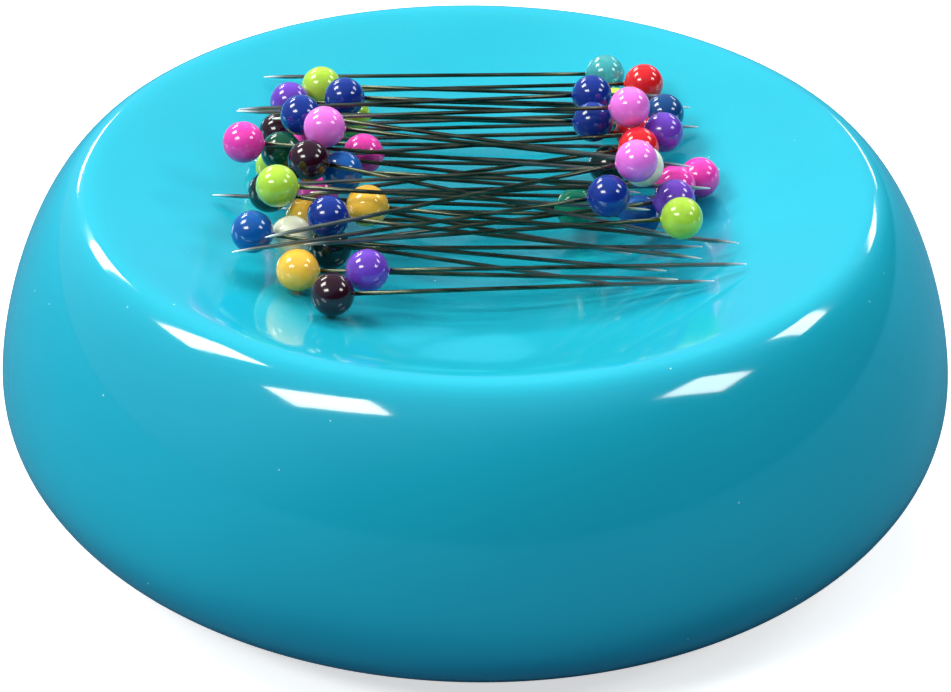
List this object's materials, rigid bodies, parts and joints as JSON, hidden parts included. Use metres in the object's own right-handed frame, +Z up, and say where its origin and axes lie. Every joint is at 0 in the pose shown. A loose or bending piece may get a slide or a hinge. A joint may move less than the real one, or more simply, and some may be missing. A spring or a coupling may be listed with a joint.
{
  "type": "magnetic pin dish",
  "caption": "Round magnetic pin dish: a glossy turquoise shell with a dished top over a bar magnet, holding a heap of ball-headed sewing pins.",
  "frame": {"origin": "on the table under the middle of the dish, in the plane of the feet", "axes": "+Z up; +X along the pins, from the left-hand heads to the right-hand heads; +Y to the back"},
  "size_m": [0.108, 0.108, 0.0459],
  "materials": {
    "dish_plastic": "polished moulded plastic",
    "base_plastic": "satin black moulding",
    "ferrite": "dull dark ferrite",
    "pole_steel": "plain sheared plate",
    "bright_steel": "drawn wire and plated screws",
    "foot_rubber": "matte black",
    "head_black_green": "polished moulded ball",
    "head_clear_green": "polished moulded ball, translucent",
    "head_cream": "polished moulded ball",
    "head_dark_blue": "polished moulded ball",
    "head_dark_green": "polished moulded ball",
    "head_lime": "polished moulded ball",
    "head_magenta": "polished moulded ball",
    "head_maroon": "polished moulded ball",
    "head_mid_blue": "polished moulded ball",
    "head_navy": "polished moulded ball",
    "head_pink": "polished moulded ball",
    "head_purple": "polished moulded ball",
    "head_red": "polished moulded ball",
    "head_teal": "polished moulded ball, translucent",
    "head_yellow": "polished moulded ball"
  },
  "bodies": {
    "dish": {"dish_shell": "dish_plastic", "base_cover": "base_plastic", "magnet_block": "ferrite", "pole_plate_left": "pole_steel", "pole_plate_right": "pole_steel", "magnet_cradle": "base_plastic", "cradle_screw_left": "bright_steel", "cradle_screw_right": "bright_steel", "base_screw_1": "bright_steel", "base_screw_2": "bright_steel", "base_screw_3": "bright_steel", "foot_1": "foot_rubber", "foot_2": "foot_rubber", "foot_3": "foot_rubber"},
    "pins_bottom": {"pin_black_green_1": "head_black_green", "pin_black_green_2": "head_black_green", "pin_black_green_3": "head_black_green", "pin_clear_green_1": "head_clear_green", "pin_cream_1": "head_cream", "pin_lime_1": "head_lime", "pin_lime_2": "head_lime", "pin_lime_3": "head_lime", "pin_magenta_1": "head_magenta", "pin_magenta_2": "head_magenta", "pin_magenta_3": "head_magenta", "pin_magenta_4": "head_magenta", "pin_mid_blue_1": "head_mid_blue", "pin_mid_blue_2": "head_mid_blue", "pin_purple_1": "head_purple", "pin_red_2": "head_red", "pin_yellow_1": "head_yellow", "pin_yellow_2": "head_yellow"},
    "pins_middle": {"pin_dark_blue_1": "head_dark_blue", "pin_dark_blue_2": "head_dark_blue", "pin_dark_blue_5": "head_dark_blue", "pin_dark_green_1": "head_dark_green", "pin_magenta_5": "head_magenta", "pin_maroon_1": "head_maroon", "pin_mid_blue_3": "head_mid_blue", "pin_navy_1": "head_navy", "pin_pink_1": "head_pink", "pin_purple_2": "head_purple", "pin_purple_4": "head_purple", "pin_red_1": "head_red", "pin_yellow_3": "head_yellow"},
    "pins_upper": {"pin_cream_2": "head_cream", "pin_dark_blue_6": "head_dark_blue", "pin_lime_5": "head_lime", "pin_lime_6": "head_lime", "pin_magenta_6": "head_magenta", "pin_maroon_3": "head_maroon"},
    "pin_dark_blue_3_loose": {"pin_dark_blue_3": "head_dark_blue"},
    "pin_dark_blue_4_loose": {"pin_dark_blue_4": "head_dark_blue"},
    "pin_lime_4_loose": {"pin_lime_4": "head_lime"},
    "pin_maroon_2_loose": {"pin_maroon_2": "head_maroon"},
    "pin_pink_2_loose": {"pin_pink_2": "head_pink"},
    "pin_pink_3_loose": {"pin_pink_3": "head_pink"},
    "pin_purple_3_loose": {"pin_purple_3": "head_purple"},
    "pin_red_3_loose": {"pin_red_3": "head_red"},
    "pin_teal_1_loose": {"pin_teal_1": "head_teal"}
  },
  "joints": [
    {"name": "lift_bottom_layer", "type": "slide", "parent": "dish", "child": "pins_bottom", "axis": [0, 0, 1], "range_m": [0, 0.03]},
    {"name": "lift_middle_layer", "type": "slide", "parent": "pins_bottom", "child": "pins_middle", "axis": [0, 0, 1], "range_m": [0, 0.02]},
    {"name": "lift_upper_layer", "type": "slide", "parent": "pins_middle", "child": "pins_upper", "axis": [0, 0, 1], "range_m": [0, 0.02]},
    {"name": "pick_dark_blue_3", "type": "slide", "parent": "pins_upper", "child": "pin_dark_blue_3_loose", "axis": [0, 0, 1], "range_m": [0, 0.03]},
    {"name": "pick_dark_blue_4", "type": "slide", "parent": "pins_upper", "child": "pin_dark_blue_4_loose", "axis": [0, 0, 1], "range_m": [0, 0.03]},
    {"name": "pick_lime_4", "type": "slide", "parent": "pins_upper", "child": "pin_lime_4_loose", "axis": [0, 0, 1], "range_m": [0, 0.03]},
    {"name": "pick_maroon_2", "type": "slide", "parent": "pins_bottom", "child": "pin_maroon_2_loose", "axis": [0, 0, 1], "range_m": [0, 0.03]},
    {"name": "pick_pink_2", "type": "slide", "parent": "pins_upper", "child": "pin_pink_2_loose", "axis": [0, 0, 1], "range_m": [0, 0.03]},
    {"name": "pick_pink_3", "type": "slide", "parent": "pins_upper", "child": "pin_pink_3_loose", "axis": [0, 0, 1], "range_m": [0, 0.03]},
    {"name": "pick_purple_3", "type": "slide", "parent": "pins_bottom", "child": "pin_purple_3_loose", "axis": [0, 0, 1], "range_m": [0, 0.03]},
    {"name": "pick_red_3", "type": "slide", "parent": "pins_bottom", "child": "pin_red_3_loose", "axis": [0, 0, 1], "range_m": [0, 0.03]},
    {"name": "pick_teal_1", "type": "slide", "parent": "pins_bottom", "child": "pin_teal_1_loose", "axis": [0, 0, 1], "range_m": [0, 0.03]}
  ]
}
